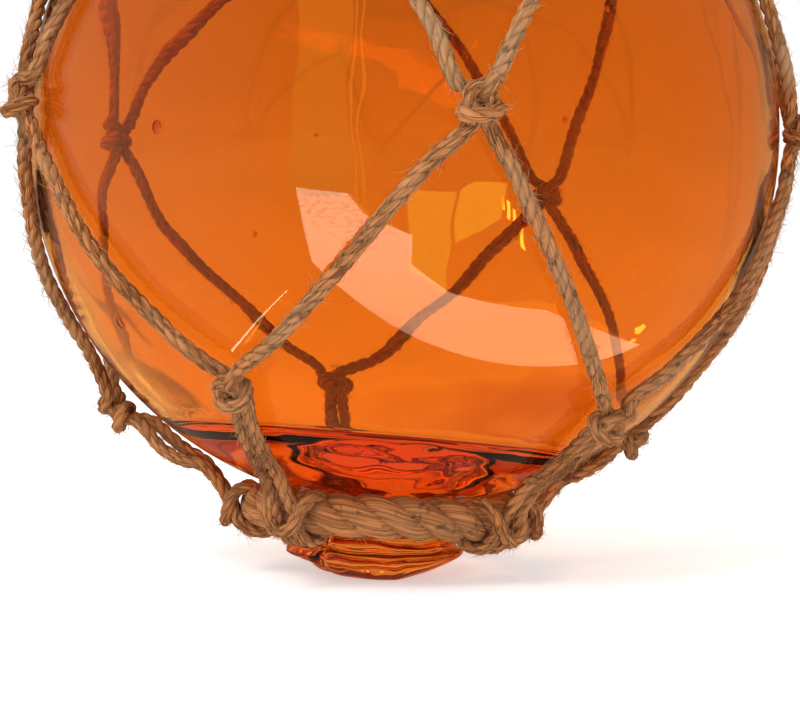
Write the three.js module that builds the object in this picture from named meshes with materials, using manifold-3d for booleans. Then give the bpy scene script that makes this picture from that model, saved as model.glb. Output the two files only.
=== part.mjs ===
// Glass fishing float: a hollow blown ball closed by a seal button, held in a knotted cord net
// whose loops are gathered on a rope ring below and a rope ring above.
// Millimetres, +Z up. The origin is on the small ground flat under the seal button,
// straight below the centre of the ball. -Y is the front.

import * as THREE from 'three';
import { mergeVertices } from 'three/addons/utils/BufferGeometryUtils.js';
import Module from 'manifold-3d';

const wasm = await Module();
wasm.setup();

// ---- Driving dimensions -------------------------------------------------

const GLASS_RADIUS = 76;          // 152 mm (6 in) ball
const CENTRE_HEIGHT = 89.6;       // centre of the ball above the flat it stands on
const LEAN_DEG = 3;               // the seal and both rings sit this far off plumb
const LOWER_RING_NOD_DEG = 3.5;   // and the lower ring has slipped this far towards the front
const GAP = 0.3;                  // clearance between neighbouring pieces

const BUTTON_RADIUS = 15.2;       // pressed glass seal under the ball
const BUTTON_REACH = 90.4;        // from the centre of the ball to the seal's lowest point
const NECK_RADIUS = 11.6;         // the narrowest place between the seal and the ball
const NECK_FLARE = 2;             // and how much wider it is where it meets the ball
// Radius and rise above the lowest point, from the axis out round the seal's rim to its neck.
const BUTTON_PROFILE = [
  [0, 0], [6, 0.2], [10, 1.1], [12.8, 2.6], [14.6, 4.6], [BUTTON_RADIUS, 6.2], [14.4, 7.9],
  [12.7, 9], [NECK_RADIUS, 11],
];
const FOLD_HALF = new THREE.Vector3(4.2, 5.4, 3.3); // the fold of glass at the seal's edge
const FOLD_INSET = 2;             // how far inside the rim its middle lies
const FOLD_RISE = 4.4;            // and how far above the seal's lowest point
const FLOOR_BLOCK = new THREE.Vector3(80, 80, 20);  // cuts the flat that the float stands on

const CORD_RADIUS = 1.45;         // 2.9 mm three-strand cord
const ROPE_RADIUS = 4.25;         // 8.5 mm three-strand rope of the rings
const RING_RADIUS = 25;           // centre line of each ring
const RING_SEAT = GLASS_RADIUS + GAP + ROPE_RADIUS;
const RING_POLAR = Math.asin(RING_RADIUS / RING_SEAT);

const KNOT_HALF = new THREE.Vector3(4.7, 4.2, 2.6); // across, along the meridian, off the glass
const KNOT_SEAT = GLASS_RADIUS + GAP + KNOT_HALF.z;
const CORD_SEAT = GLASS_RADIUS + GAP + CORD_RADIUS;
const KNOT_LIFT = 1;              // how much higher a cord is inside a knot than on the glass
const LEG_LIFT = 0.15;            // how far a leg's cords stand off the glass below their knot
const LEG_SPREAD_IN_KNOT = 0.5;   // half the spacing of the two cords of a leg, inside the knot,
const LEG_SPREAD = 1.6;           // where they leave it
const LEG_SPREAD_AT_RING = 2.3;   // and where they part to go round the ring
const LEG_SHARES = [0, 0.15, 0.4, 0.7, 1];          // of the way from the knot to the ring
const SIDE_SHARES = [0, 0.08, 0.22, 0.5, 0.78, 0.92, 1]; // of the way from knot to knot
const KNOT_SHARE = 0.2;           // the share of a mesh's side over which it settles on the glass
const RING_APPROACH = 0.2;        // radians from the ring's middle to where a leg starts its wrap
const WRAP_TURNS_DEG = [80, 45, 10, -25, -60];      // round the ring's section, 0 away from the ball

// The net is five meshes round and three rows of knots high, tied by hand, so no two are alike.
// Azimuth is from the front (-Y) towards +X; latitude is from the ball's equator.
const LOWER_KNOTS = [[-93, -43.5], [-29, -38], [42, -44.5], [98, -52], [196, -42]];
const MIDDLE_KNOTS = [[-64, 3], [9, -1], [81, 0], [153, -5], [239, 3]];
const UPPER_KNOTS = [[-93, 45], [-25, 43], [45, 46], [120, 44], [195, 47]];
const LOWER_RING_AZIMUTHS = [-88, -37, 52, 100, 200];
const UPPER_RING_AZIMUTHS = [-97, -30, 48, 118, 198];

const SPHERE_SEGMENTS = 36;
const CORD_SIDES = 6;
const SIDE_STEP = 12;             // length of one facet along a mesh's side
const LEG_STEP = 5.2;             // and along a leg, which turns more
const RING_SIDES = 8;
const RING_SEGMENTS = 32;

// ---- Materials ----------------------------------------------------------

const glassMaterial = () => new THREE.MeshStandardMaterial({
  color: 0xe87522, roughness: 0.05, metalness: 0, transparent: true, opacity: 0.6,
});
const ropeMaterial = () => new THREE.MeshStandardMaterial({
  color: 0x96714f, roughness: 0.95, metalness: 0,
});

// ---- Solids by boolean --------------------------------------------------

// A closed three.js geometry as a manifold solid: vertices merged, collapsed triangles dropped.
function solidOf(geometry) {
  const bare = geometry.clone();
  bare.deleteAttribute('normal');
  bare.deleteAttribute('uv');
  const merged = mergeVertices(bare, 1e-4);
  const corners = merged.index.array;
  const kept = [];
  for (let i = 0; i < corners.length; i += 3) {
    const [a, b, c] = [corners[i], corners[i + 1], corners[i + 2]];
    if (a !== b && b !== c && c !== a) kept.push(a, b, c);
  }
  return new wasm.Manifold(new wasm.Mesh({
    numProp: 3,
    vertProperties: new Float32Array(merged.attributes.position.array),
    triVerts: new Uint32Array(kept),
  }));
}

function geometryOf(solid) {
  const mesh = solid.getMesh();
  const geometry = new THREE.BufferGeometry();
  geometry.setAttribute('position', new THREE.BufferAttribute(mesh.vertProperties, 3));
  geometry.setIndex(new THREE.BufferAttribute(mesh.triVerts, 1));
  geometry.computeVertexNormals();
  return geometry;
}

function joined(solids) {
  return solids.reduce((sum, solid) => sum.add(solid));
}

// ---- Places on the ball, all measured from its centre --------------------

const leaning = new THREE.Matrix4().makeRotationY(THREE.MathUtils.degToRad(LEAN_DEG));
const nodding = new THREE.Matrix4().makeRotationX(-THREE.MathUtils.degToRad(LOWER_RING_NOD_DEG));
const lowerRingLeaning = leaning.clone().multiply(nodding);

function ringLeaning(pole) {
  return pole < 0 ? lowerRingLeaning : leaning;
}

// Unit vector at an azimuth and latitude in degrees.
function direction(azimuthDeg, latitudeDeg) {
  const azimuth = THREE.MathUtils.degToRad(azimuthDeg);
  const latitude = THREE.MathUtils.degToRad(latitudeDeg);
  return new THREE.Vector3(
    Math.cos(latitude) * Math.sin(azimuth),
    -Math.cos(latitude) * Math.cos(azimuth),
    Math.sin(latitude),
  );
}

// Unit vector part of the way along the great circle from one direction to another.
function between(start, end, share) {
  const angle = start.angleTo(end);
  const part = start.clone().multiplyScalar(Math.sin((1 - share) * angle));
  part.addScaledVector(end, Math.sin(share * angle));
  return part.normalize();
}

// ---- Pieces -------------------------------------------------------------

// Ball and seal are one piece of glass: a profile turned about the ball's own axis, a fold of
// glass left at the seal's edge, and a flat ground level so that the float stands.
function glassGeometry() {
  const profile = BUTTON_PROFILE.map(([radius, rise]) => new THREE.Vector2(radius, rise - BUTTON_REACH));
  const polarStart = Math.asin((NECK_RADIUS + NECK_FLARE) / GLASS_RADIUS);
  const arcSteps = SPHERE_SEGMENTS / 2;
  for (let i = 0; i <= arcSteps; i += 1) {
    const polar = polarStart + ((Math.PI - polarStart) * i) / arcSteps;
    const radius = i === arcSteps ? 0 : GLASS_RADIUS * Math.sin(polar);
    profile.push(new THREE.Vector2(radius, -GLASS_RADIUS * Math.cos(polar)));
  }
  const turned = new THREE.LatheGeometry(profile, SPHERE_SEGMENTS);
  turned.rotateX(Math.PI / 2);

  const fold = new THREE.SphereGeometry(1, 10, 6);
  fold.scale(...FOLD_HALF);
  fold.translate(FOLD_INSET - BUTTON_RADIUS, 0, FOLD_RISE - BUTTON_REACH);

  const floor = new THREE.BoxGeometry(...FLOOR_BLOCK);
  floor.translate(0, 0, -CENTRE_HEIGHT - FLOOR_BLOCK.z / 2);

  turned.applyMatrix4(leaning);
  fold.applyMatrix4(leaning);
  return geometryOf(solidOf(turned).add(solidOf(fold)).subtract(solidOf(floor)));
}

// A plain cord along a curve. Its flat ends lie inside the knots or the ring it runs between.
function cordSolid(curve, stepLength) {
  const section = new THREE.Shape();
  for (let i = 0; i < CORD_SIDES; i += 1) {
    const angle = (2 * Math.PI * i) / CORD_SIDES;
    const place = [CORD_RADIUS * Math.cos(angle), CORD_RADIUS * Math.sin(angle)];
    if (i === 0) section.moveTo(...place);
    else section.lineTo(...place);
  }
  section.closePath();
  const steps = Math.ceil(curve.getLength() / stepLength);
  return solidOf(new THREE.ExtrudeGeometry(section, { steps, extrudePath: curve, bevelEnabled: false }));
}

// One side of a mesh: over the glass from knot to knot, lifted where it leaves each knot.
function meshSide(start, end) {
  const points = SIDE_SHARES.map((share) => {
    const lift = KNOT_LIFT * Math.max(0, 1 - Math.min(share, 1 - share) / KNOT_SHARE);
    return between(start, end, share).multiplyScalar(CORD_SEAT + lift);
  });
  return cordSolid(new THREE.CatmullRomCurve3(points), SIDE_STEP);
}

// One of the two cords of a leg: from its knot over the glass, then round the outside of the
// ring and up inside it, where it meets the other cord of the leg. side is -1 or 1, and pole is
// -1 at the lower ring and 1 at the upper one.
function legCord(knot, ringAzimuthDeg, side, pole) {
  const outward = direction(ringAzimuthDeg, 0).applyMatrix4(ringLeaning(pole));
  const axis = new THREE.Vector3(0, 0, pole).applyMatrix4(ringLeaning(pole));
  const across = new THREE.Vector3().crossVectors(outward, axis).multiplyScalar(side);
  const onMeridian = (polar) => axis.clone().multiplyScalar(Math.cos(polar))
    .addScaledVector(outward, Math.sin(polar));

  const seat = onMeridian(RING_POLAR);
  const away = onMeridian(RING_POLAR + Math.PI / 2);
  const approach = onMeridian(RING_POLAR + RING_APPROACH);
  const points = LEG_SHARES.map((share) => {
    const lift = share === 0 ? KNOT_LIFT : LEG_LIFT;
    const parted = THREE.MathUtils.lerp(LEG_SPREAD, LEG_SPREAD_AT_RING, share);
    return between(knot, approach, share).multiplyScalar(CORD_SEAT + lift)
      .addScaledVector(across, share === 0 ? LEG_SPREAD_IN_KNOT : parted);
  });
  const wrap = ROPE_RADIUS + CORD_RADIUS + 2 * GAP;
  for (const turnDeg of WRAP_TURNS_DEG) {
    const turn = THREE.MathUtils.degToRad(turnDeg);
    const spread = turnDeg > 0 ? LEG_SPREAD_AT_RING : LEG_SPREAD_AT_RING * (1 + turnDeg / 90);
    points.push(seat.clone().multiplyScalar(RING_SEAT + wrap * Math.cos(turn))
      .addScaledVector(away, wrap * Math.sin(turn)).addScaledVector(across, spread));
  }
  return cordSolid(new THREE.CatmullRomCurve3(points), LEG_STEP);
}

// A knot's own bulk, lying on the glass.
function knotSolid(place) {
  const lump = new THREE.SphereGeometry(1, 8, 5);
  lump.scale(KNOT_HALF.x, KNOT_HALF.y, KNOT_HALF.z);
  const east = new THREE.Vector3(0, 0, 1).cross(place).normalize();
  const north = new THREE.Vector3().crossVectors(place, east);
  lump.applyMatrix4(new THREE.Matrix4().makeBasis(east, north, place));
  lump.translate(...place.clone().multiplyScalar(KNOT_SEAT));
  return solidOf(lump);
}

// The net is one cord knotted to itself all the way, so it is one piece.
function netGeometry() {
  const [lower, middle, upper] = [LOWER_KNOTS, MIDDLE_KNOTS, UPPER_KNOTS]
    .map((row) => row.map(([azimuth, latitude]) => direction(azimuth, latitude)));
  const solids = [...lower, ...middle, ...upper].map(knotSolid);
  middle.forEach((knot, column) => {
    const next = (column + 1) % middle.length;
    for (const row of [lower, upper]) {
      solids.push(meshSide(row[column], knot), meshSide(row[next], knot));
    }
  });
  lower.forEach((knot, column) => {
    for (const side of [-1, 1]) solids.push(legCord(knot, LOWER_RING_AZIMUTHS[column], side, -1));
  });
  upper.forEach((knot, column) => {
    for (const side of [-1, 1]) solids.push(legCord(knot, UPPER_RING_AZIMUTHS[column], side, 1));
  });
  return geometryOf(joined(solids));
}

// A closed ring of rope seated on the glass. pole is -1 below and 1 above.
function ringGeometry(pole) {
  const ring = new THREE.TorusGeometry(RING_RADIUS, ROPE_RADIUS, RING_SIDES, RING_SEGMENTS);
  ring.translate(0, 0, pole * RING_SEAT * Math.cos(RING_POLAR));
  ring.applyMatrix4(ringLeaning(pole));
  return ring;
}

// ---- The float ----------------------------------------------------------

const group = new THREE.Group();
group.position.z = CENTRE_HEIGHT;

function addPiece(name, geometry, material) {
  const piece = new THREE.Mesh(geometry, material);
  piece.name = name;
  group.add(piece);
}

addPiece('glass_float', glassGeometry(), glassMaterial());
addPiece('rope_net', netGeometry(), ropeMaterial());
addPiece('lower_ring', ringGeometry(-1), ropeMaterial());
addPiece('upper_ring', ringGeometry(1), ropeMaterial());

export default group;
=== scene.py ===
# %% [markdown]
# # A netted glass fishing float
#
# The float is a hollow ball of orange glass, blown and then closed with a button of hot glass,
# hanging in a net of brown three-strand cord that is gathered on a rope ring at each end.
# The frame holds the plain solids of the construction. This lesson builds what the eye sees
# around it: a real shell of glass with a puddle of glass in its foot, rope made of twisted
# strands, netting knots that are really tied, and the loose fibres that make cord look like cord.

# %% Load the frame and the tools
import math
import random

import bmesh
import bpy
import numpy as np
from mathutils import Matrix, Vector, noise
from mathutils.geometry import interpolate_bezier


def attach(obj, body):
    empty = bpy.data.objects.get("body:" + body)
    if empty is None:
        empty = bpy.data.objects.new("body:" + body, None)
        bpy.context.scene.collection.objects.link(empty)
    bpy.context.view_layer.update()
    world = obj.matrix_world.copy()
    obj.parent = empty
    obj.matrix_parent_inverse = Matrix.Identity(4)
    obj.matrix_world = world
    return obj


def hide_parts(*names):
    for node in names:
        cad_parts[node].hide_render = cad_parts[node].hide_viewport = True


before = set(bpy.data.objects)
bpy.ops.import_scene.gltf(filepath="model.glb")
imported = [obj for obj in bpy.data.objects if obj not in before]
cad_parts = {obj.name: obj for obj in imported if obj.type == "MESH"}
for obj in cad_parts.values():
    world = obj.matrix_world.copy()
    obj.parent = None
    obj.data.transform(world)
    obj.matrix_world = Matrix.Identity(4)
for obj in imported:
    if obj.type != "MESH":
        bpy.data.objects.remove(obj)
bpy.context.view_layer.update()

# %% [markdown]
# ## The sizes that drive everything
#
# These are the construction's own numbers, repeated here because a float's looks are all
# measured from its ball: the cord lies on it, the rings sit on it, the seal hangs below it.

# %% Driving sizes
MM = 0.001
BALL_RADIUS = 76 * MM
BALL_CENTRE = Vector((0, 0, 89.6 * MM))
LEAN_DEG = 3                            # the seal and both rings sit off plumb
SLIP_DEG = -3.5                         # the lower ring has slipped to the front too
LEAN = Matrix.Rotation(math.radians(LEAN_DEG), 3, "Y")
SLIP = Matrix.Rotation(math.radians(SLIP_DEG), 3, "X")
RING_LEAN = {-1: LEAN @ SLIP, 1: LEAN}  # the ring below, and the one above
GAP = 0.3 * MM                          # air between neighbouring pieces

CORD_RADIUS = 1.45 * MM
ROPE_RADIUS = 4.25 * MM
RING_RADIUS = 25 * MM
RING_SEAT = BALL_RADIUS + GAP + ROPE_RADIUS  # from the ball's centre to a ring's centre line
RING_POLAR = math.asin(RING_RADIUS / RING_SEAT)
CORD_SEAT = BALL_RADIUS + GAP + CORD_RADIUS
print("cord is", 2 * CORD_RADIUS / MM, "mm, ball is", 2 * BALL_RADIUS / MM, "mm")

# %% [markdown]
# ## The camera
#
# It stands low and close in front of the ball with a long lens, a little above table height,
# so the top of the ball runs out of the frame and the ring and seal are seen from the side.

# %% Camera
CAMERA_PLACE = (0, -0.3648, 0.0548)
DIP_DEG = 1.6  # how far below level it looks
ROLL_DEG = 0.1
LENS = 79.3    # in mm, on a sensor 36 mm wide

camera_data = bpy.data.cameras.new("camera")
camera_data.sensor_width = 36
camera_data.lens = LENS
camera_data.clip_start = 0.01
camera = bpy.data.objects.new("camera", camera_data)
camera.location = CAMERA_PLACE
camera.rotation_euler = (math.radians(90 - DIP_DEG), 0, math.radians(ROLL_DEG))
bpy.context.collection.objects.link(camera)
bpy.context.scene.camera = camera
print("camera is", round((BALL_CENTRE - camera.location).length, 3), "m from the ball's centre")

# %% [markdown]
# ## Small helpers for mesh work
#
# A finished piece is one object at the origin with its place in its vertices. Every shape
# here starts in a bmesh, and one function turns it into a named, smooth-shaded piece.

# %% Mesh helpers
def piece_from(bm, name, material=None, smooth=True):
    """Turns a bmesh into a mesh object at the origin, and frees it."""
    mesh = bpy.data.meshes.new(name)
    bm.to_mesh(mesh)
    bm.free()
    if smooth:
        mesh.shade_smooth()
    if material:
        mesh.materials.append(material)
    piece = bpy.data.objects.new(name, mesh)
    bpy.context.collection.objects.link(piece)
    triangles = sum(len(p.vertices) - 2 for p in mesh.polygons)
    print(f"{name}: {len(mesh.vertices)} vertices, {triangles} triangles")
    return piece


ROUTE_PARTS = 10  # points made between two neighbouring points of a route


def smooth_curve(points, closed=False, parts=ROUTE_PARTS):
    """Points along a smooth curve through the given ones, however unevenly they are spaced."""
    count = len(points)
    spans = count if closed else count - 1

    def point(i):
        return points[i % count] if closed else points[min(max(i, 0), count - 1)]

    def tangent(i):
        before, here, after = point(i - 1), point(i), point(i + 1)
        return (after - before) / ((here - before).length + (after - here).length)

    curve = []
    for i in range(spans):
        reach = (point(i + 1) - point(i)).length / 3
        run = interpolate_bezier(point(i), point(i) + tangent(i) * reach,
                                 point(i + 1) - tangent(i + 1) * reach, point(i + 1), parts + 1)
        curve.extend(Vector(p) for p in run[:-1])
    if not closed:
        curve.append(points[-1].copy())
    return curve


def turned(bm, outline, steps):
    """Spins an outline of (radius, height) points about the Z axis into a closed skin."""
    row = [bm.verts.new((radius, 0, height)) for radius, height in outline]
    edges = [bm.edges.new(pair) for pair in zip(row, row[1:])]
    bmesh.ops.spin(bm, geom=row + edges, axis=(0, 0, 1), cent=(0, 0, 0),
                   angle=2 * math.pi, steps=steps, use_merge=True)
    bmesh.ops.remove_doubles(bm, verts=bm.verts[:], dist=0.001 * MM)


def face_out(bm):
    """Turns the faces of closed skins outwards."""
    bmesh.ops.recalc_face_normals(bm, faces=bm.faces[:])


def ramp(value, start, length):
    """0 up to the start, then rising evenly to 1 over the length, and 1 from there on."""
    return min(max((value - start) / length, 0), 1)


# %% [markdown]
# ## Small helpers for shader nodes
#
# A node is made and wired in one line: its kind is the type's name after ShaderNode, and each
# input is given by name, or as i0, i1 and so on where names repeat. A socket given to an input
# is linked to it, and anything else is set as a plain value.

# %% Node helpers
def new_material(name):
    """An empty material and its node tree."""
    material = bpy.data.materials.new(name)
    material.use_nodes = True
    material.node_tree.nodes.clear()
    return material, material.node_tree


def feed(tree, socket, value):
    """Links another node's socket to this one, or sets a plain value on it."""
    if isinstance(value, bpy.types.NodeSocket):
        tree.links.new(value, socket)
    else:
        socket.default_value = value


def linked(tree, kind, operation=None, **inputs):
    """A new node with its inputs fed."""
    node = tree.nodes.new("ShaderNode" + kind)
    if operation:
        node.operation = operation
    for name, value in inputs.items():
        numbered = name[0] == "i" and name[1:].isdigit()
        feed(tree, node.inputs[int(name[1:]) if numbered else name.replace("_", " ")], value)
    return node


def worked(tree, operation, *values):
    """The result of one step of arithmetic."""
    inputs = {f"i{i}": value for i, value in enumerate(values)}
    return linked(tree, "Math", operation, **inputs).outputs[0]


def ranged(tree, value, low, high, to_low=0.0, to_high=1.0):
    """A value's place between two limits, drawn out to run from to_low up or down to to_high."""
    return linked(tree, "MapRange", Value=value, From_Min=low, From_Max=high,
                  To_Min=to_low, To_Max=to_high).outputs["Result"]


def mix_color(tree, factor, first, second):
    """The first colour at factor 0, the second at 1."""
    node = tree.nodes.new("ShaderNodeMix")
    node.data_type = "RGBA"
    for number, value in ((0, factor), (6, first), (7, second)):
        feed(tree, node.inputs[number], value)
    return node.outputs[2]


def matt_material(name, color, roughness, **more):
    """A plain rough material, with any more inputs that its shader needs."""
    material, tree = new_material(name)
    shader = linked(tree, "BsdfPrincipled", Base_Color=(*color, 1), Roughness=roughness,
                    **more)
    linked(tree, "OutputMaterial", Surface=shader.outputs["BSDF"])
    return material


# %% [markdown]
# ## The glass ball and its seal
#
# A float is blown thin, so its wall is about 2 mm, but the last of the hot glass runs down and
# is pressed shut, which leaves a puddle with a flat top inside and a button outside. A solid
# ball would act as a lens and turn the room upside down, so the hollow has to be real: one mesh
# with an outer skin that faces out and an inner skin that faces into the hollow.
# Both skins are outlines spun about the ball's own axis, and then the whole is leaned over.

# %% The outer skin: ball and seal in one outline
GLASS_STEPS = 160        # steps round the ball
ARC_STEPS = 96           # steps from the neck up to the top
SEAL_REACH = 90.4 * MM   # from the ball's centre to the lowest point of the seal
SEAL_OUTLINE = [(0, 0), (8, 0.2), (12.4, 0.8), (14.6, 2.2), (15.4, 3.8), (15.1, 5.3), (14.0, 6.1),
                (13.9, 7.2), (13.4, 8.4), (12.4, 9.4), (11.8, 10.8), (12.4, 12.6)]
NECK_RADIUS = 14.8 * MM  # where the seal's neck meets the ball
NECK_POLAR = math.asin(NECK_RADIUS / BALL_RADIUS)


def outer_outline():
    """The seal from the axis outwards, then the ball's circle up to the top."""
    corners = [Vector((radius, 0, rise)) * MM for radius, rise in SEAL_OUTLINE]
    seal = [(p.x, p.z - SEAL_REACH) for p in smooth_curve(corners, parts=4)]
    seal[0] = (0, seal[0][1])
    for i in range(ARC_STEPS + 1):
        polar = NECK_POLAR + (math.pi - NECK_POLAR) * i / ARC_STEPS
        radius = BALL_RADIUS * math.sin(polar) if i < ARC_STEPS else 0
        seal.append((radius, -BALL_RADIUS * math.cos(polar)))
    return seal


def hump(angle, centre, width):
    """A smooth hump of height 1 round an angle."""
    away = math.remainder(angle - centre, 2 * math.pi) / width
    return math.exp(-away * away)


SEAL_HEIGHT = 8 * MM  # the seal proper, below its neck
SEAL_RADIUS = 15 * MM
FOLD_SIDE = math.pi   # the fold stands out on the left
FOLD_REACH = 4.4      # in mm, as the other reaches are
FOLD_WIDTH = 0.27     # in radians, as the other widths are
NOTCH_DEPTH = 1.5
NOTCH_WIDTH = 0.12
NOTCH_ASIDE = 0.55    # from the middle of the fold to the notch on each side of it
LIP_SIDE = 0.1        # the lip is pulled out on the right
LIP_REACH = 1.7
LIP_WIDTH = 0.9


def shape_seal(verts):
    """The pressed seal isn't round: a fold of glass stands out on its left, behind a notch."""
    for v in verts:
        rise = v.co.z + SEAL_REACH
        in_seal = 1 - ramp(rise, SEAL_HEIGHT, 4 * MM)
        if not in_seal:
            continue
        radius = math.hypot(v.co.x, v.co.y)
        angle = math.atan2(v.co.y, v.co.x)
        edge = min(radius / SEAL_RADIUS, 1) ** 3 * in_seal
        fold = FOLD_REACH * hump(angle, FOLD_SIDE, FOLD_WIDTH) * ramp(rise, 2.2 * MM, 1.4 * MM)
        notch = NOTCH_DEPTH * (hump(angle, FOLD_SIDE + NOTCH_ASIDE, NOTCH_WIDTH)
                               + hump(angle, FOLD_SIDE - NOTCH_ASIDE, NOTCH_WIDTH))
        lip = LIP_REACH * hump(angle, LIP_SIDE, LIP_WIDTH)
        wobble = (0.8 * noise.noise(v.co * 130) + 0.15 * noise.noise(v.co * 330)
                  + 0.3 * math.cos(2 * angle + 1))
        factor = 1 + (fold - notch + lip + wobble) * MM * edge / max(radius, MM)
        v.co.x *= factor
        v.co.y *= factor
        low = 1 - ramp(rise, 0, 7 * MM)
        slope = 0.3 * max(v.co.x / MM - 3, 0) * low
        v.co.z += (0.45 * noise.noise(v.co * 160 + Vector((5, 0, 0))) * edge + slope) * MM


shell = bmesh.new()
turned(shell, outer_outline(), GLASS_STEPS)
shape_seal(shell.verts)
face_out(shell)
for v in shell.verts:
    v.co = LEAN @ v.co + BALL_CENTRE
bmesh.ops.bisect_plane(shell, geom=shell.verts[:] + shell.edges[:] + shell.faces[:],
                       plane_co=(0, 0, 0), plane_no=(0, 0, 1), clear_inner=True)
rim = [e for e in shell.edges if e.is_boundary]
bmesh.ops.edgeloop_fill(shell, edges=rim)
face_out(shell)
print("outer skin volume", round(shell.calc_volume(signed=True) * 1e6, 1), "cm3")

# %% [markdown]
# The hollow follows the ball 2 mm in, and stops at the flat top of the puddle. Its faces have to
# point into the hollow, so the skin is flipped before it joins the outer one.

# %% The inner skin: the hollow with the puddle's flat top
WALL = 2 * MM
HOLLOW_ARC_STEPS = 84
PUDDLE_CORNER = [(43.2, -60.1), (42.4, -60.8), (40.6, -61.2), (30, -61.3), (14, -61.3), (0, -61.2)]
PUDDLE_LEAN = (Matrix.Rotation(math.radians(4.7), 3, "Y")      # the puddle set while the ball
               @ Matrix.Rotation(math.radians(-4.8), 3, "X"))  # lay leaning, so its top slopes


def hollow_outline():
    """From the top of the hollow down its wall and in across the puddle."""
    radius = BALL_RADIUS - WALL
    foot = math.asin(PUDDLE_CORNER[0][0] * MM / radius)
    outline = []
    for i in range(HOLLOW_ARC_STEPS):
        polar = math.pi - (math.pi - foot) * i / HOLLOW_ARC_STEPS
        outline.append((radius * math.sin(polar) if i else 0, -radius * math.cos(polar)))
    corner = smooth_curve([Vector((r, 0, z)) * MM for r, z in PUDDLE_CORNER], parts=5)
    outline.extend((p.x, p.z) for p in corner)
    outline[-1] = (0, outline[-1][1])
    return outline


WALL_RIPPLE = 0.17 * MM    # how far blown glass strays from a true ball
PUDDLE_RIPPLE = 0.14 * MM  # and how much further the puddle's top does
PUDDLE_CHILL = 0.12 * MM   # the finer wrinkles of its chilled skin
hollow = bmesh.new()
turned(hollow, hollow_outline(), GLASS_STEPS)
for v in hollow.verts:
    ripple = noise.noise(v.co * 45) + 0.5 * noise.noise(v.co * 110)
    in_puddle = ramp(-v.co.z, 56 * MM, 5 * MM)
    wrinkle = PUDDLE_CHILL * noise.noise(v.co * 190)
    stray = (WALL_RIPPLE + PUDDLE_RIPPLE * in_puddle) * ripple + wrinkle * in_puddle
    v.co += v.co.normalized() * stray
    v.co = PUDDLE_LEAN @ v.co + BALL_CENTRE
face_out(hollow)
bmesh.ops.reverse_faces(hollow, faces=hollow.faces[:])
print("hollow volume", round(-hollow.calc_volume(signed=True) * 1e6, 1), "cm3")

# %% [markdown]
# Blown glass keeps a few bubbles. The blowing stretched the wall, so each is a thin flat lens
# of air in the middle of it. It is a hole in the glass, so its faces point inwards too.

# %% Air bubbles in the wall
BUBBLE_THICKNESS = 0.12  # next to its width, and its height is 1.2 of that
BUBBLES = [(-34, -3, 1.0), (-53, -30, 0.9), (-11, -5, 0.35), (5, -9, 0.3), (28, 12, 0.5),
           (-72, 21, 0.6), (64, -22, 0.45), (148, 8, 0.7), (-150, -14, 0.6), (96, 35, 0.5)]
for azimuth_deg, latitude_deg, size in BUBBLES:
    place = Matrix.Rotation(math.radians(azimuth_deg), 4, "Z")
    place @= Matrix.Rotation(math.radians(-latitude_deg), 4, "X")
    place @= Matrix.Translation((0, WALL / 2 - BALL_RADIUS, 0))
    place @= Matrix.Diagonal((size * MM, BUBBLE_THICKNESS * size * MM, 1.2 * size * MM, 1))
    made = bmesh.ops.create_uvsphere(hollow, u_segments=12, v_segments=8, radius=1,
                                     matrix=Matrix.Translation(BALL_CENTRE) @ place)
    faces = {face for v in made["verts"] for face in v.link_faces}
    bmesh.ops.reverse_faces(hollow, faces=list(faces))
print(len(BUBBLES), "bubbles")

# %% [markdown]
# Both skins and the bubbles become one mesh. Its volume is that of the glass alone, so the glass
# can be weighed.

# %% Join the two skins
hollow_mesh = bpy.data.meshes.new("hollow")
hollow.to_mesh(hollow_mesh)
hollow.free()
shell.from_mesh(hollow_mesh)
bpy.data.meshes.remove(hollow_mesh)
glass_volume = shell.calc_volume(signed=True) * 1e6
print("glass", round(glass_volume, 1), "cm3,", round(glass_volume * 2.5), "g")
glass_ball = piece_from(shell, "glass_ball")

# %% [markdown]
# ## The orange glass
#
# Orange floats are clear glass with an orange coat, over a body that is a little amber itself.
# So the colour comes in two ways: each skin tints what passes through it, and the thickness
# absorbs a little blue and green, which turns the thick foot a deep red. The shader stays a
# plain Principled one with full transmission. Lamps shine straight through it to the cords
# behind, because a path tracer finds no small lamp through refracting glass by chance.

# %% Glass material
glass, tree = new_material("orange_glass")
shader = linked(tree, "BsdfPrincipled", Base_Color=(0.9, 0.39, 0.07, 1), Metallic=0.0,
                Roughness=0.0, IOR=1.5, Transmission_Weight=1.0)
lamp_light = linked(tree, "BsdfTransparent", Color=(0.84, 0.76, 0.62, 1))
light_path = linked(tree, "LightPath")
surface = linked(tree, "MixShader", Fac=light_path.outputs["Is Shadow Ray"],
                 i1=shader.outputs["BSDF"], i2=lamp_light.outputs["BSDF"])
body = linked(tree, "VolumeAbsorption", Color=(0.985, 0.68, 0.4, 1), Density=60.0)
linked(tree, "OutputMaterial", Surface=surface.outputs["Shader"],
       Volume=body.outputs["Volume"])
glass_ball.data.materials.append(glass)

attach(glass_ball, "root")
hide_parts("glass_float")
print("glass_ball's material has", len(tree.nodes), "nodes")

# %% [markdown]
# ## Rope is strands wound round each other
#
# Three-strand rope is right-handed: seen from any side its strands climb like the middle stroke
# of a Z. A bump map on a tube looks flat at the edge, so each strand is real: it follows the
# cord's path at a small radius and turns as it goes. A curve with a round bevel makes the skin
# of one strand, and its own UV runs along and round it, which the fibres will need.

# %% Even steps and turning frames
def lengths_along(points):
    """A closed line of points as an array, and how far along it each one lies."""
    line = np.array(points + points[:1])
    steps = np.linalg.norm(np.diff(line, axis=0), axis=1)
    return line, np.concatenate([[0], np.cumsum(steps)])


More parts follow.
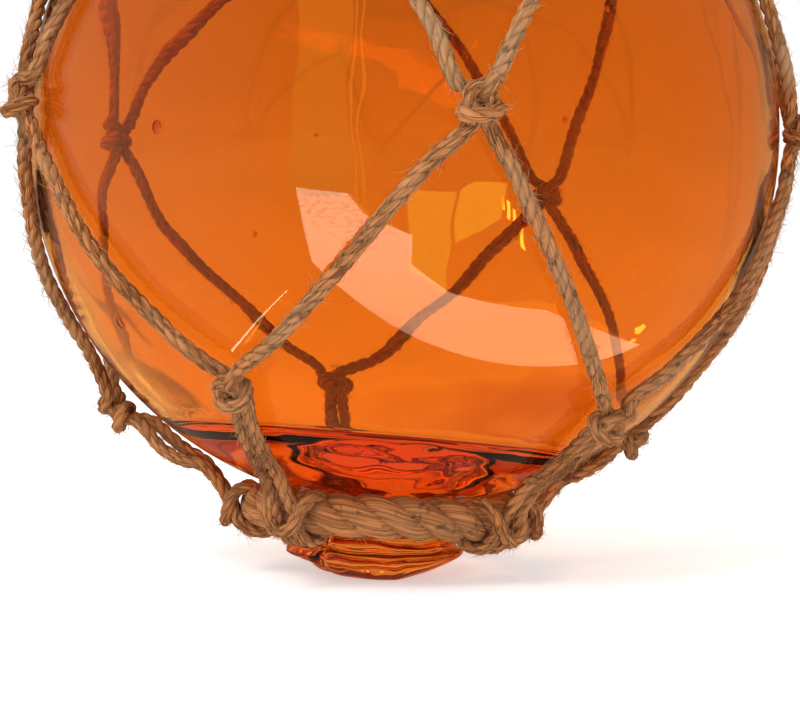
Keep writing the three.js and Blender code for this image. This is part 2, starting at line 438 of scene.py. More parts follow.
def even_steps(points, step):
    """The same closed line with its points an even distance apart, and its whole length."""
    line, lengths = lengths_along(points)
    count = max(round(lengths[-1] / step), 8)
    places = np.linspace(0, lengths[-1], count + 1)[:-1]
    even = np.stack([np.interp(places, lengths, line[:, axis]) for axis in range(3)], axis=1)
    return [Vector(p) for p in even], lengths[-1]


def shares_of(corners, curve):
    """How far along its smooth curve each corner lies, from 0 up to 1 at the first one again."""
    lengths = lengths_along(curve)[1]
    marks = [lengths[i * ROUTE_PARTS] for i in range(len(corners))] + [lengths[-1]]
    return np.array(marks) / lengths[-1]


def frames_along(points):
    """Each point's tangent and a side that never turns about it, and the slip at the closing."""
    tangents = [(after - before).normalized()
                for before, after in zip(points[-1:] + points[:-1], points[1:] + points[:1])]
    side = tangents[0].orthogonal().normalized()
    sides = [side]
    for previous, tangent in zip(tangents, tangents[1:]):
        side = side.copy()
        side.rotate(previous.rotation_difference(tangent))
        side = (side - tangent * side.dot(tangent)).normalized()
        sides.append(side)
    last = side.copy()
    last.rotate(tangents[-1].rotation_difference(tangents[0]))
    slip = math.atan2(tangents[0].dot(sides[0].cross(last)), sides[0].dot(last))
    return tangents, sides, slip


# %% [markdown]
# A strand also remembers how proud each place on it is, from the cord's axis out, so that the
# fibres can be darkened with painted shade down in the grooves between two strands.

# %% One strand's skin
def round_curve(resolution):
    """An empty curve whose splines get a round skin, as thick as their own points say."""
    curve = bpy.data.curves.new("strand", "CURVE")
    curve.dimensions = "3D"
    curve.bevel_depth = 1
    curve.bevel_resolution = resolution
    return curve


def mesh_of(curve):
    """The skin of a curve as a mesh. The curve is used up."""
    holder = bpy.data.objects.new("strand", curve)
    mesh = bpy.data.meshes.new_from_object(holder)
    bpy.data.objects.remove(holder)
    bpy.data.curves.remove(curve)
    return mesh


def add_strand(bm, points, radii, resolution, axis_points):
    """Adds the skin of one closed strand to a bmesh, with its map in metres."""
    curve = round_curve(resolution)
    spline = curve.splines.new("POLY")
    spline.points.add(len(points) - 1)
    spline.points.foreach_set("co", [c for p in points for c in (*p, 1)])
    spline.points.foreach_set("radius", radii)
    spline.use_cyclic_u = True
    mesh = mesh_of(curve)
    length = sum((b - a).length for a, b in zip(points, points[1:]))
    uv = np.empty(len(mesh.loops) * 2)
    mesh.uv_layers[0].data.foreach_get("uv", uv)
    uv = uv.reshape(-1, 2) * (length, 2 * math.pi * radii[len(radii) // 2])
    mesh.uv_layers[0].data.foreach_set("uv", uv.ravel())
    spots = np.empty(len(mesh.vertices) * 3)
    mesh.vertices.foreach_get("co", spots)
    spots = spots.reshape(len(points), -1, 3)
    depth = np.linalg.norm(spots - np.array(axis_points)[:, None, :], axis=2)
    depth = depth / depth.max(axis=1, keepdims=True)
    proud = mesh.attributes.new("proud", "FLOAT", "POINT")
    proud.data.foreach_set("value", depth.ravel())
    bm.from_mesh(mesh)
    bpy.data.meshes.remove(mesh)


# %% [markdown]
# A rope's route is a list of corners, each with how tightly the cord is drawn there. The route
# is smoothed, pushed off the glass where it would sink in, and then its three strands are wound.

# %% Three strands along a route
STRAND_OFFSET = 0.41       # from the cord's axis to a strand's axis, in cord radii
STRAND_RADIUS = 0.61       # in cord radii
TURN_STEPS = 14            # steps along one full turn
UNEVENNESS = 0.17          # a strand wanders in and out, and is thinner where it is out
ROPE_CLEARANCE = 0.1 * MM  # the least air between rope and glass


def off_glass(point, clearance):
    """The point itself, or if it is too near the ball, the place straight out from it."""
    reach = point - BALL_CENTRE
    least = BALL_RADIUS + clearance
    return point if reach.length >= least else BALL_CENTRE + reach.normalized() * least


def lay_rope(bm, route, radius, resolution=2, seed=0, lay_length=3.0):
    """Winds three strands along a closed route of (point, tightness). Returns its even points."""
    corners = [point for point, tightness in route]
    tightness = [tightness for point, tightness in route]
    curve = smooth_curve(corners, closed=True)
    lay = lay_length * 2 * radius
    points, length = even_steps(curve, lay / TURN_STEPS)
    turns = round(length / lay)
    points = [off_glass(point, radius + ROPE_CLEARANCE) for point in points]
    tangents, sides, slip = frames_along(points)
    share = np.linspace(0, 1, len(points), endpoint=False)
    tight = np.interp(share, shares_of(corners, curve), tightness + tightness[:1])
    for strand in range(3):
        line, radii = [], []
        for i, point in enumerate(points):
            angle = 2 * math.pi * (turns * share[i] + strand / 3) - slip * share[i]
            out = sides[i] * math.cos(angle) + tangents[i].cross(sides[i]) * math.sin(angle)
            wander = noise.noise(Vector((seed, strand * 9, share[i] * length * 120)))
            uneven = 1 + UNEVENNESS * wander
            line.append(point + out * (STRAND_OFFSET * radius * tight[i] * uneven))
            radii.append(STRAND_RADIUS * radius * tight[i] * (2 - uneven))
        add_strand(bm, line, radii, resolution, points)
    return points


# %% [markdown]
# ## The two rope rings
#
# Each ring is a closed loop of thicker rope, seated on the ball where a circle 50 mm across
# fits it. The same strand function winds it, only fatter.

# %% Rings
RING_CORNERS = 24


def ring_route(pole):
    """A circle on the ball, leaning with the seal. pole is -1 below and 1 above."""
    height = pole * RING_SEAT * math.cos(RING_POLAR)
    route = []
    for i in range(RING_CORNERS):
        angle = 2 * math.pi * i / RING_CORNERS
        spot = Vector((RING_RADIUS * math.cos(angle), RING_RADIUS * math.sin(angle), height))
        route.append((RING_LEAN[pole] @ spot + BALL_CENTRE, 1))
    return route


ring_pieces, ring_lines = {}, {}
for name, pole in (("lower_rope_ring", -1), ("upper_rope_ring", 1)):
    bm = bmesh.new()
    ring_lines[pole] = lay_rope(bm, ring_route(pole), ROPE_RADIUS, resolution=6, seed=pole,
                                lay_length=2.4)
    face_out(bm)
    ring_pieces[pole] = piece_from(bm, name)

# %% [markdown]
# ## Places on the ball
#
# The net is five meshes round and three rows of knots high. Each knot has an azimuth, from the
# front towards the right, and a latitude. It was tied by hand, so no two are quite alike.

# %% The knots' places
LOWER_KNOTS = [(-93, -43.5), (-29, -38), (42, -44.5), (98, -52), (196, -42)]
MIDDLE_KNOTS = [(-64, 3), (9, -1), (81, 0), (153, -5), (239, 3)]
UPPER_KNOTS = [(-93, 45), (-25, 43), (45, 46), (120, 44), (195, 47)]
LOWER_RING_AZIMUTHS = [-88, -37, 52, 100, 200]
UPPER_RING_AZIMUTHS = [-97, -30, 48, 118, 198]


def direction(azimuth_deg, latitude_deg):
    """Unit vector from the ball's centre. -Y is the front."""
    azimuth, latitude = math.radians(azimuth_deg), math.radians(latitude_deg)
    return Vector((math.cos(latitude) * math.sin(azimuth),
                   -math.cos(latitude) * math.cos(azimuth), math.sin(latitude)))


lower, middle, upper = ([direction(*place) for place in row]
                        for row in (LOWER_KNOTS, MIDDLE_KNOTS, UPPER_KNOTS))
print(len(lower + middle + upper), "knots")

# %% [markdown]
# ## The netting knot
#
# Nets are tied with the sheet bend. The older row gives an arch with its closed end up, and the
# new cord comes down in front of it, goes through its eye to the back, round both its legs in
# front, and out again behind its own shoulder. Each knot is written once as points in cord
# radii: across, up, and off the glass. The cord is pulled tight there, so it gets thinner.

# %% The two halves of a knot
KNOT_SCALE = 0.48        # the points below are drawn loose, and the knot is pulled tight
KNOT_TIGHT = 0.93
KNOT_TWIST = 0.14        # the most that a knot is turned either way, in radians
KNOT_SIZES = (0.94, 1.08)
HANGING_KNOT = lower[0]  # this one hangs clear of the glass
HANGING_LIFT = 2.4 * MM
HARD_KNOT = lower[3]     # and this one is drawn up hardest
HARD_SIZE = 0.8
ARCH = [(-1.7, -4.6, 0.5), (-2.2, -2.2, 1.5), (-2.4, 0.2, 1.7), (-1.9, 2.2, 1.8), (0, 3.2, 1.8),
        (1.9, 2.2, 1.4), (2.4, 0.2, 1.6), (2.2, -2.2, 1.5), (1.7, -4.6, 0.5)]
WRAP = [(4.9, 5.4, 0.5), (2.7, 3.5, 2.4), (1.0, 1.0, 1.2), (-1.0, -0.6, 0.1), (-3.0, -1.5, 0.1),
        (-4.0, -2.4, 1.4), (-2.2, -3.1, 2.7), (0.4, -3.2, 2.9), (2.8, -2.9, 2.6), (4.1, -1.8, 1.4),
        (2.9, -0.7, 0.1), (0.6, 0.4, 1.7), (-1.3, 2.1, 0.2), (-2.9, 3.7, 0.0), (-4.9, 5.4, 0.3)]


def on_knot(knot, offset, twist, scale, lift):
    """A point of a knot, given in cord radii across, up and off the glass."""
    east = Vector((0, 0, 1)).cross(knot).normalized()
    north = knot.cross(east)
    across, up, off = offset
    across, up = (across * math.cos(twist) - up * math.sin(twist),
                  across * math.sin(twist) + up * math.cos(twist))
    spot = knot * CORD_SEAT + (east * across + north * up) * (CORD_RADIUS * scale)
    return BALL_CENTRE + spot.normalized() * (CORD_SEAT + off * CORD_RADIUS + lift)


def half_knot(knot, shape):
    """The route of an arch or a wrap round a knot's place, with its own small turn."""
    turn_random = random.Random(round(knot.x * 1e5) + round(knot.z * 1e4))
    twist = turn_random.uniform(-KNOT_TWIST, KNOT_TWIST)
    scale = KNOT_SCALE * turn_random.uniform(*KNOT_SIZES)
    lift = HANGING_LIFT if knot == HANGING_KNOT else 0
    if knot == HARD_KNOT:
        scale *= HARD_SIZE
    route = [(on_knot(knot, offset, twist, scale, lift), KNOT_TIGHT) for offset in shape]
    for end in (0, -1):
        route[end] = (route[end][0], 1)
    return route


# %% [markdown]
# Between two knots the cord takes the shortest way over the ball.

# %% From knot to knot
REST_LIFT = 0.15 * MM          # how far a cord lying on the glass is drawn off it
REST_SHARES = (0.2, 0.5, 0.8)  # where its corners lie between the knots


def over_glass(start, end):
    """Route points over the ball from knot to knot, resting on the glass."""
    return [(BALL_CENTRE + start.slerp(end, share) * (CORD_SEAT + REST_LIFT), 1)
            for share in REST_SHARES]


# %% [markdown]
# ## The hitch on the ring
#
# Each gathered leg is one loop of cord, hitched on the ring: both its cords come down over the
# ring's outside and up through its middle, and the end of the loop crosses over them as a bar.
# Where the cord passes between ring and glass it is squeezed out of sight.

# %% Hitches and legs
HITCH_RADIUS = ROPE_RADIUS + CORD_RADIUS * 0.95  # from the ring's centre line to a cord's
LEG_SHARES = (0.3, 0.5, 0.72, 0.92)              # where a leg's corners lie between knot and ring
LEG_LIFT = 0.2 * MM
LEG_TIGHT, HITCH_TIGHT, BAR_TIGHT = 0.95, 0.92, 0.9
# Round the ring: the turn in degrees, the reach in hitch radii, and the mm to the side.
ROUND_RING = [(66, 1, 2.3), (38, 1, 2.2), (8, 1, 2.0), (-24, 1, 1.9), (-58, 1, 2.0),
              (-92, 1, 2.4), (-125, 0.7, 3.2), (170, 0.35, 4.4), (122, 0.8, 5.2),
              (88, 1.08, 4.6)]


def hitch_route(azimuth_deg, pole, knot, slack=(0, 0)):
    """From a knot down one cord of its leg, round the ring, and back up the other cord."""
    outward = RING_LEAN[pole] @ direction(azimuth_deg, 0)
    axis = RING_LEAN[pole] @ Vector((0, 0, pole))
    across = outward.cross(axis)
    seat = axis * math.cos(RING_POLAR) + outward * math.sin(RING_POLAR)
    away = outward * math.cos(RING_POLAR) - axis * math.sin(RING_POLAR)

    def round_ring(turn_deg, reach, aside):
        turn = math.radians(turn_deg)
        return (BALL_CENTRE + seat * (RING_SEAT + reach * math.cos(turn))
                + away * (reach * math.sin(turn)) + across * aside)

    edge = RING_POLAR + 0.15  # a leg meets the ring a little outside its seat
    approach = axis * math.cos(edge) + outward * math.sin(edge)
    half = {}
    for side in (-1, 1):
        leg = []
        for share in LEG_SHARES:
            sag = slack[side > 0] * MM * math.sin(math.pi * share)
            spot = knot.slerp(approach, share) * (CORD_SEAT + LEG_LIFT + sag)
            aside = across * (side * (1.25 + 0.5 * share) * MM)
            leg.append((BALL_CENTRE + spot + aside, LEG_TIGHT))
        for turn_deg, reach, aside in ROUND_RING:
            spot = round_ring(turn_deg, HITCH_RADIUS * reach, side * aside * MM)
            leg.append((spot, HITCH_TIGHT))
        half[side] = leg
    bar = [(round_ring(turn_deg, HITCH_RADIUS + reach * MM, aside * MM), BAR_TIGHT)
           for turn_deg, reach, aside in ((50, 1.9, 2.3), (44, 2.4, 0), (50, 1.9, -2.3))]
    return half[1] + bar + half[-1][::-1]


# %% [markdown]
# ## Running the cord through the net
#
# The net is a few long runs of cord: five loops hitched to the lower ring, two cords that
# zigzag round the ball from knot to knot, and five loops hitched to the upper ring. Each run is
# closed on itself, so the strands need no ends. After smoothing, a run is pushed back out
# wherever it would sink into the glass.

# %% The net's runs
LOWER_SLACK = [(0.3, 3.0), (0.2, 0.4), (0.3, 0.6), (1.0, 0.5), (0.4, 1.2)]  # of each leg, in mm


def zigzag(wrapped, arched, step):
    """One cord all the way round: a wrap on each lower knot, an arch at each knot above it."""
    route = []
    for column in range(len(wrapped) - 1, -1, -1):
        here = wrapped[column]
        peak = arched[(column + step) % len(arched)]
        before = wrapped[(column - 1) % len(wrapped)]
        route += half_knot(here, WRAP) + over_glass(here, peak)
        route += half_knot(peak, ARCH)[::-1] + over_glass(peak, before)
    return route


runs = {
    "net_lower_loops": [half_knot(knot, ARCH) + hitch_route(azimuth, -1, knot, slack)
                        for knot, azimuth, slack in zip(lower, LOWER_RING_AZIMUTHS, LOWER_SLACK)],
    "net_lower_zigzag": [zigzag(lower, middle, -1)],
    "net_upper_zigzag": [zigzag(middle, upper, 0)],
    "net_upper_loops": [half_knot(knot, WRAP) + hitch_route(azimuth, 1, knot)
                        for knot, azimuth in zip(upper, UPPER_RING_AZIMUTHS)],
}
net_pieces, net_lines = [], []
for number, (name, routes) in enumerate(runs.items()):
    bm = bmesh.new()
    for route in routes:
        net_lines.append(lay_rope(bm, route, CORD_RADIUS, seed=number * 7))
    face_out(bm)
    net_pieces.append(piece_from(bm, name))

# %% [markdown]
# ## Jute, made of fibres
#
# Jute is a bundle of long fibres, some pale and some dark, and dust settles on it in patches.
# Both cord and rope need it at their own scale, so it is a node group: it takes the strand's
# own map, in metres along and round the strand, and stretches two noises along it.

# %% The fibre group
FIBRE_SLANT = 0.35                        # fibres cross the strand at this slope
YARN_SCALES = ((0.05, 1.0), (0.04, 3.2))  # stretch along the strand, fineness across it
FLECK_COLOR = (0.06, 0.027, 0.012, 1)
# painted shade for the grooves between two strands
PAINTED_GROOVE_SHADE = (0.05, 0.022, 0.01, 1)


def fibre_group():
    """Colour and height of jute from a strand's map, a place and how proud it is.
    The colour has painted shade down in the grooves.
    """
    group = bpy.data.node_groups.new("jute_fibres", "ShaderNodeTree")
    for name, kind in (("Strand Map", "Vector"), ("Place", "Vector"), ("Pale", "Color"),
                       ("Dark", "Color"), ("Dust", "Color"), ("Yarns Per Metre", "Float"),
                       ("Proud", "Float")):
        group.interface.new_socket(name, in_out="INPUT", socket_type="NodeSocket" + kind)
    for name, kind in (("Color", "Color"), ("Height", "Float")):
        group.interface.new_socket(name, in_out="OUTPUT", socket_type="NodeSocket" + kind)
    given = group.nodes.new("NodeGroupInput").outputs
    result = group.nodes.new("NodeGroupOutput").inputs

    # Long fibres at two finenesses, running along the strand and slanting round it.
    spot = linked(group, "SeparateXYZ", i0=given["Strand Map"]).outputs
    slant = worked(group, "MULTIPLY_ADD", spot["X"], FIBRE_SLANT, spot["Y"])
    heights = []
    for along, around in YARN_SCALES:
        across_scale = worked(group, "MULTIPLY", given["Yarns Per Metre"], around)
        along_scale = worked(group, "MULTIPLY", across_scale, along)
        stretched = linked(group, "CombineXYZ",
                           i0=worked(group, "MULTIPLY", spot["X"], along_scale),
                           i1=worked(group, "MULTIPLY", slant, across_scale))
        fibres = linked(group, "TexNoise", Vector=stretched.outputs[0], Scale=1.0,
                        Detail=2.0)
        heights.append(fibres.outputs["Fac"])
    height = worked(group, "MULTIPLY", worked(group, "ADD", *heights), 0.5)
    shade = ranged(group, height, 0.44, 0.57)
    color = mix_color(group, shade, given["Dark"], given["Pale"])

    # Dust in patches, mixed in more strongly towards the top, so the upper cords are greyer.
    patches = linked(group, "TexNoise", Vector=given["Place"], Scale=70.0, Detail=3.0)
    dusty = ranged(group, patches.outputs["Fac"], 0.42, 0.68, 0.0, 0.8)
    above_table = linked(group, "SeparateXYZ", i0=given["Place"]).outputs["Z"]
    greyer_towards_top = ranged(group, above_table, 0.02, 0.1, 0.25, 1.0)
    color = mix_color(group, worked(group, "MULTIPLY", dusty, greyer_towards_top), color, given["Dust"])

    # Dark flecks of bark, and painted shade down in the grooves between the strands.
    flecks = linked(group, "TexNoise", Vector=given["Place"], Scale=420.0, Detail=2.0)
    color = mix_color(group, ranged(group, flecks.outputs["Fac"], 0.6, 0.72, 0.0, 0.7), color,
                      FLECK_COLOR)
    lit = ranged(group, given["Proud"], 0.7, 0.92, 0.7, 1.0)
    color = mix_color(group, lit, PAINTED_GROOVE_SHADE, color)
    group.links.new(color, result["Color"])
    group.links.new(height, result["Height"])
    return group


FIBRES = fibre_group()
print("the fibre group has", len(FIBRES.nodes), "nodes")

# %% [markdown]
# ## Loose fibres
#
# Jute is hairy: the ends of its fibres stand off the cord, and against bright glass they are
# what tells it from plastic line. Each one is a hair of cord fibre, thinning to its tip, that
# leaves the cord at a slant and then bends. All the hairs of a piece are splines of one curve.

# %% Fuzz
HAIR_TAPER = (1, 0.8, 0.25)  # thickness at the root, the bend and the tip
HAIR_THICKNESS = (0.035 * MM, 0.06 * MM)
HAIR_CLEARANCE = 0.15 * MM   # the least air between a hair and the glass
TABLE_CLEARANCE = 0.3 * MM


def add_hair(curve, line, radius, dice):
    """One hair somewhere on a rope's line, as a spline of the curve."""
    i = dice.randrange(len(line))
    along = (line[(i + 1) % len(line)] - line[i - 1]).normalized() * dice.choice((-1, 1))
    out = along.orthogonal().normalized()
    out.rotate(Matrix.Rotation(dice.uniform(0, 2 * math.pi), 3, along))
    away = (line[i] - BALL_CENTRE).normalized()
    if out.dot(away) < -0.3:                # it points into the glass, so it is turned to the other side
        out -= away * (2 * out.dot(away))
    spot = line[i] + out * (radius * 0.85)  # its root is sunk in the cord
    heading = (out * dice.uniform(0.25, 0.8) + along).normalized()
    bend = Vector(dice.gauss(0, 0.4) for axis in range(3))
    length = (0.8 + 2.8 * dice.random() ** 2) * MM
    thickness = dice.uniform(*HAIR_THICKNESS)
    spline = curve.splines.new("POLY")
    spline.points.add(len(HAIR_TAPER) - 1)
    for point, taper in zip(spline.points, HAIR_TAPER):
        spot = off_glass(spot, HAIR_CLEARANCE)
        spot.z = max(spot.z, TABLE_CLEARANCE)
        point.co = (*spot, 1)
        point.radius = thickness * taper
        spot = spot + heading * (length / (len(HAIR_TAPER) - 1))
        heading = (heading + bend).normalized()


def fuzz(name, lines, radius, count, seed):
    """Hairs standing off the given lines, kept off the glass, as one mesh object."""
    dice = random.Random(seed)
    curve = round_curve(0)
    curve.use_fill_caps = True
    spread = [len(line) for line in lines]
    for hair in range(count):
        add_hair(curve, dice.choices(lines, spread)[0], radius, dice)
    mesh = mesh_of(curve)
    bm = bmesh.new()
    bm.from_mesh(mesh)
    bpy.data.meshes.remove(mesh)
    bmesh.ops.remove_doubles(bm, verts=bm.verts[:], dist=0.0005 * MM)
    face_out(bm)
    return piece_from(bm, name)


def mean_height(line):
    return sum(point.z for point in line) / len(line)


below = [line for line in net_lines if mean_height(line) < BALL_CENTRE.z]
above = [line for line in net_lines if mean_height(line) >= BALL_CENTRE.z]
net_fuzz = [fuzz("net_lower_fuzz", below, CORD_RADIUS, 8000, 11),
            fuzz("net_upper_fuzz", above, CORD_RADIUS, 6000, 14)]
ring_fuzz = {-1: fuzz("lower_rope_fuzz", [ring_lines[-1]], ROPE_RADIUS, 1100, 11),
             1: fuzz("upper_rope_fuzz", [ring_lines[1]], ROPE_RADIUS, 1100, 13)}

# %% [markdown]
# ## Cord, rope and hair
#
# Cord and rope share the fibre group. The rope's yarns are coarser and its dark fibres paler.

# %% Cord and rope materials
JUTE_PALE = (0.47, 0.185, 0.062, 1)
JUTE_DARK = (0.13, 0.045, 0.013, 1)
ROPE_DARK = (0.2, 0.074, 0.023, 1)
JUTE_DUST = (0.34, 0.215, 0.115, 1)
JUTE_SHINE = 0.15  # jute hardly shines


def jute_material(name, dark, yarns_per_metre, relief):
    """Rough jute whose fibres stand out by the relief."""
    material, tree = new_material(name)
    proud = linked(tree, "Attribute")
    proud.attribute_name = "proud"
    fibres = tree.nodes.new("ShaderNodeGroup")
    fibres.node_tree = FIBRES
    given = {"Strand Map": linked(tree, "UVMap").outputs["UV"],
             "Place": linked(tree, "TexCoord").outputs["Object"],
             "Proud": proud.outputs["Fac"], "Pale": JUTE_PALE, "Dark": dark, "Dust": JUTE_DUST,
             "Yarns Per Metre": yarns_per_metre}
    for name, value in given.items():
        feed(tree, fibres.inputs[name], value)
    bump = linked(tree, "Bump", Height=fibres.outputs["Height"], Strength=1.0, Distance=relief)
    shader = linked(tree, "BsdfPrincipled", Base_Color=fibres.outputs["Color"],
                    Normal=bump.outputs["Normal"], Roughness=0.95, Specular_IOR_Level=JUTE_SHINE)
    linked(tree, "OutputMaterial", Surface=shader.outputs["BSDF"])
    return material


jute = jute_material("jute_cord", JUTE_DARK, 1100, 0.35 * MM)
rope_jute = jute_material("jute_rope", ROPE_DARK, 900, 0.5 * MM)
hair = matt_material("jute_hair", (0.42, 0.2, 0.085), 0.9, Specular_IOR_Level=JUTE_SHINE)

# %% [markdown]
# The cord and the two ropes replace the plain solids. The loose fibres are only added to them.

# %% Cord, rope and hair get their places
for piece in net_pieces:
    piece.data.materials.append(jute)
    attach(piece, "root")
    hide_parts("rope_net")
for piece in net_fuzz:
    piece.data.materials.append(hair)
    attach(piece, "root")
for pole, node in ((-1, "lower_ring"), (1, "upper_ring")):
    ring_fuzz[pole].data.materials.append(hair)
    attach(ring_fuzz[pole], "root")
    piece = ring_pieces[pole]
    piece.data.materials.append(rope_jute)
    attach(piece, "root")
    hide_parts(node)
print(len(net_pieces + net_fuzz) + 2 * len(ring_pieces), "pieces of cord and rope")

# %% [markdown]
# ## The white table
#
# The table glows a little, to be white up to its far edge. The glass doesn't mirror it: in its
# place it shows the darker room.

# %% Floor
floor_bm = bmesh.new()
bmesh.ops.create_circle(floor_bm, cap_ends=True, segments=64, radius=12)
bmesh.ops.translate(floor_bm, verts=floor_bm.verts[:], vec=(0, 0, -0.1 * MM))
white_table = matt_material("white_table", (0.88, 0.88, 0.88), 0.95,
                            Emission_Color=(1, 1, 1, 1), Emission_Strength=0.42)
floor = piece_from(floor_bm, "floor", white_table, smooth=False)
floor.visible_glossy = False

# %% [markdown]
# ## Things that only the glass sees
#
# Glass shows what it mirrors and what stands behind it. Those things are flat cards that the
# camera, the cords and the table don't see. A sheet of crumpled paper lies in front of the ball,
# and its mirror image is the broad pale band. Beside it is a narrow bright slit.

# %% Paper and slit
def glass_card(name, corners, strength, color, mirrored=True):
    """A glowing card with corners in mm, unseen by camera, cord and floor. Returns its nodes."""
    material, tree = new_material(name)
    glow = linked(tree, "Emission", Color=(*color, 1), Strength=strength)
    output = linked(tree, "OutputMaterial", Surface=glow.outputs["Emission"])
    bm = bmesh.new()
    bm.faces.new([bm.verts.new(Vector(corner) * MM) for corner in corners])
    card = piece_from(bm, name, material, smooth=False)
    card.visible_camera = False
    card.visible_diffuse = False
    card.visible_shadow = False
    card.visible_glossy = mirrored
    return tree, glow, output


PAPER_COOL = (5.6, 5.1, 4.1, 1)  # at the sheet's far end from the ball
PAPER_WARM = (4.3, 3.1, 2.0, 1)  # and next to the ball
CREASE_COLOR = (1.2, 0.8, 0.5, 1)
sheet = [(100, -21, 1), (54, -55, 1), (3, -89, 1), (-56, -134, 1), (-140, -269, 1),
         (-65, -262, 1), (-34, -208, 1), (7, -175, 1), (5, -140, 1), (24, -114, 1), (67, -86, 1),
         (86, -54, 1)]
paper, paper_glow = glass_card("paper_card", sheet, 1, (1, 1, 1))[:2]
place = linked(paper, "TexCoord").outputs["Object"]
to_ball = linked(paper, "SeparateXYZ", i0=place).outputs["Y"]
sheet_color = mix_color(paper, ranged(paper, to_ball, -0.17, -0.06), PAPER_COOL, PAPER_WARM)
creases = linked(paper, "TexNoise", Vector=place, Scale=150.0, Detail=5.0, Roughness=0.7)
crumpled = ranged(paper, creases.outputs["Fac"], 0.5, 0.56, 0.0, 0.4)
far_end = ranged(paper, to_ball, -0.14, -0.19)
sheet_color = mix_color(paper, worked(paper, "MULTIPLY", crumpled, far_end), sheet_color,
                        CREASE_COLOR)
feed(paper, paper_glow.inputs["Color"], sheet_color)
glass_card("slit_card", [(-67, -54, 1), (-64.5, -80, 1), (-60, -105, 1), (-60.6, -105, 1),
                         (-65.4, -80, 1), (-68.2, -54, 1)], 10, (1, 0.85, 0.6))

# %% [markdown]
# Patches of painted shade and a painted pool of light on the table behind the ball show through
# it. A hard rim would show as a line, so each patch fades out. Where two overlap, they lie at
# different heights.

# %% Soft patches on the table
def soft_card(name, middle, reach, color, solid):
    """A level oval, even up to `solid` of its reach and then fading out. Sizes are in mm."""
    middle, reach = Vector(middle) * MM, Vector(reach) * MM
    turns = [math.radians(angle) for angle in range(0, 360, 12)]
    oval = [middle + Vector((math.cos(a), math.sin(a), 0)) * reach for a in turns]
    tree, glow, output = glass_card(name, [corner / MM for corner in oval], 1, color, False)
    place = linked(tree, "TexCoord").outputs["Object"]
    from_middle = linked(tree, "VectorMath", "SUBTRACT", i0=place, i1=middle)
    spread = linked(tree, "VectorMath", "DIVIDE", i0=from_middle.outputs[0], i1=reach)
    distance = linked(tree, "VectorMath", "LENGTH", i0=spread.outputs[0])
    clear = linked(tree, "BsdfTransparent")
    faded = ranged(tree, distance.outputs["Value"], solid, 0.98)
    blend = linked(tree, "MixShader", Fac=faded, i1=glow.outputs["Emission"],
                   i2=clear.outputs["BSDF"])
    feed(tree, output.inputs["Surface"], blend.outputs["Shader"])


# painted shadow on the table under the ball, and painted shade behind it on the left
soft_card("shade_card", (0, 40, -0.07), (52, 80, 1), (0.32, 0.18, 0.11), 0.3)
soft_card("side_shade_card", (-68, 128, -0.06), (50, 54, 1), (0.28, 0.15, 0.1), 0.4)
# painted shade on the table out to the left behind, which darkens the ball's left limb
soft_card("near_limb_shade_card", (-128, 285, -0.04), (70, 150, 1), (0.36, 0.36, 0.75), 0.4)
soft_card("far_limb_shade_card", (-330, 900, -0.04), (115, 400, 1), (0.36, 0.36, 0.6), 0.4)
# a painted pool of light on the table under the ball, which brightens the middle of the puddle
soft_card("glow_pool_card", (-5, 21, -0.05), (12, 13, 1), (1.0, 0.46, 0.26), 0.7)
# painted shade on the table behind the ball to the right
soft_card("dim_shade_card", (72, 390, -0.05), (110, 250, 1), (0.9, 0.66, 0.33), 0.15)

# %% [markdown]
# Behind the ball stand the panes of a far window and a few lamps, seen only through the glass.

# %% Panes and lamps behind the ball
PANE_DISTANCE = 400
COOL = (0.6, 0.8, 1)
VIOLET = (0.75, 0.46, 0.9)
PANES = [("tall_pane", [(-48, 106), (-48, 260), (-24, 260), (-24, 104)], 1.2, (0.66, 0.8, 1)),
         ("pane_edge", [(-22.5, 100), (-22.5, 260), (-21.5, 260), (-21.5, 100)], 1.5, COOL),
         ("pane_rim", [(-18.8, 98), (-18.8, 260), (-17.8, 260), (-17.8, 98)], 1.5, COOL),
         ("low_pane", [(5, 66), (5, 107), (23, 103), (23, 58)], 2.3, (0.48, 0.72, 1)),
         ("side_pane", [(25, 78), (25, 104), (32, 108), (47, 106), (44, 88), (34, 84)], 2.3,
          (0.5, 0.8, 1)),
         ("lamp_row_a", [(44, 92), (44, 98), (45.2, 97), (45.2, 91)], 13, VIOLET),
         ("lamp_row_b", [(46.5, 88), (46.5, 96), (48, 95), (48, 87)], 13, VIOLET),
         ("lamp_row_c", [(49.5, 84), (49.5, 92), (51, 91), (51, 83)], 13, VIOLET),
         ("lamp_row_d", [(52.5, 80), (52.5, 88), (54, 87), (54, 79)], 13, VIOLET),
         ("lamp_low", [(63, 72), (63, 78), (66, 76), (66, 71)], 12, VIOLET),
         ("lamp_right", [(110, 37), (109.5, 40), (113, 42), (116, 39), (113, 36)], 12, VIOLET),
         ("lamp_foot", [(108, 30), (109, 33), (112, 32), (112, 30)], 10, VIOLET)]
for name, corners, strength, color in PANES:
    glass_card(name, [(x, PANE_DISTANCE, z) for x, z in corners], strength, color, False)

# %% [markdown]
# ## Lamps
#
# A broad soft lamp high on the left and a weaker one low on the right model the cords. The glass
# shows neither.

# %% Lamps
def area_light(name, location, size, power):
    """A square lamp pointed at the ball's centre."""
    lamp = bpy.data.lights.new(name, "AREA")
    lamp.shape = "SQUARE"
    lamp.size = size
    lamp.energy = power
    holder = bpy.data.objects.new(name, lamp)
    holder.location = location
    holder.rotation_euler = (BALL_CENTRE - Vector(location)).to_track_quat("-Z", "Y").to_euler()
    holder.visible_glossy = False
    holder.visible_transmission = False
    bpy.context.collection.objects.link(holder)
    print(name, "gives", power, "W")


area_light("key_light", (-0.45, -0.7, 0.75), 0.5, 9)
area_light("fill_light", (0.9, -0.5, 0.35), 0.6, 2)

# %% [markdown]
# ## The sky
#
# One sky plays four parts: a clean white backdrop for the camera, a dimmer light for cord and
# table, a glow behind the ball that falls off upwards, and the brown room that the glass mirrors.

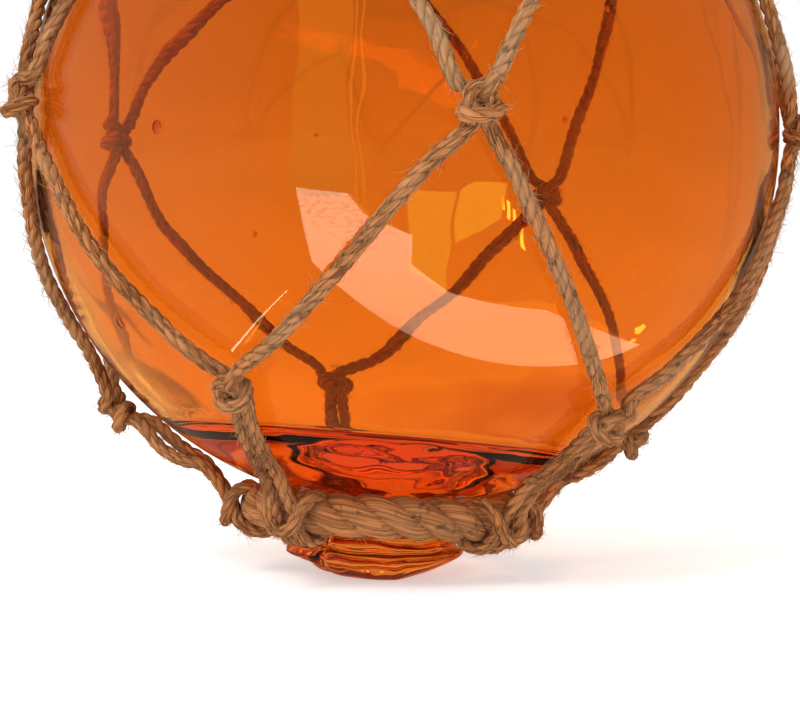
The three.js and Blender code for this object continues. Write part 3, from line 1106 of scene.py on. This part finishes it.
# %% Sky
DIM_SKY = 0.75      # how bright the sky is for lighting, next to the white backdrop
SKY_BEHIND = 0.62   # how bright it is through the ball, well above the table
GLOW_BEHIND = 0.42  # and how much brighter at table height
GLOW_TOP = 0.35     # the height at which that glow has died out
GLOW_FALL = 2.6     # the glow falls off with this power
ROOM_NEAR = (0.19, 0.12, 0.07, 1)
ROOM_FAR = (0.44, 0.28, 0.2, 1)
ROOM_LEFT = (0.8, 0.66, 0.5, 1)

world = bpy.data.worlds.new("white_sky")
bpy.context.scene.world = world
world.use_nodes = True
tree = world.node_tree
tree.nodes.clear()
rays = linked(tree, "LightPath").outputs
bearing = linked(tree, "TexCoord").outputs["Generated"]
heading = linked(tree, "SeparateXYZ", Vector=bearing).outputs

glow = worked(tree, "POWER", ranged(tree, heading["Z"], 0.0, GLOW_TOP, 1.0, 0.0), GLOW_FALL)
seen_sky = worked(tree, "ADD", worked(tree, "MULTIPLY", glow, GLOW_BEHIND), SKY_BEHIND)
behind_ball = worked(tree, "MULTIPLY", worked(tree, "SUBTRACT", seen_sky, DIM_SKY),
                     rays["Is Transmission Ray"])
backdrop = worked(tree, "MULTIPLY", rays["Is Camera Ray"], 1 - DIM_SKY)
strength = worked(tree, "ADD", worked(tree, "ADD", DIM_SKY, backdrop), behind_ball)

mirrored = linked(tree, "Math", "SUBTRACT", i0=rays["Is Glossy Ray"], i1=rays["Is Transmission Ray"])
mirrored.use_clamp = True
room = mix_color(tree, ranged(tree, heading["Y"], -0.3, 0.8), ROOM_NEAR, ROOM_FAR)
room = mix_color(tree, ranged(tree, heading["X"], -0.55, -1.0, 0.0, 0.8), room, ROOM_LEFT)
color = mix_color(tree, mirrored.outputs[0], (1, 1, 1, 1), room)
sky = linked(tree, "Background", Color=color, Strength=strength)
linked(tree, "OutputWorld", Surface=sky.outputs["Background"])
print("the sky has", len(tree.nodes), "nodes")

# %% [markdown]
# ## Paths of light
#
# Light crosses four skins of glass on its way through the ball, so its paths may be long.

# %% Light paths
scene = bpy.context.scene
scene.view_settings.view_transform = "Standard"
scene.cycles.max_bounces = 20
scene.cycles.transmission_bounces = 20
scene.cycles.transparent_max_bounces = 24
scene.cycles.glossy_bounces = 6
print("up to", scene.cycles.max_bounces, "bounces")
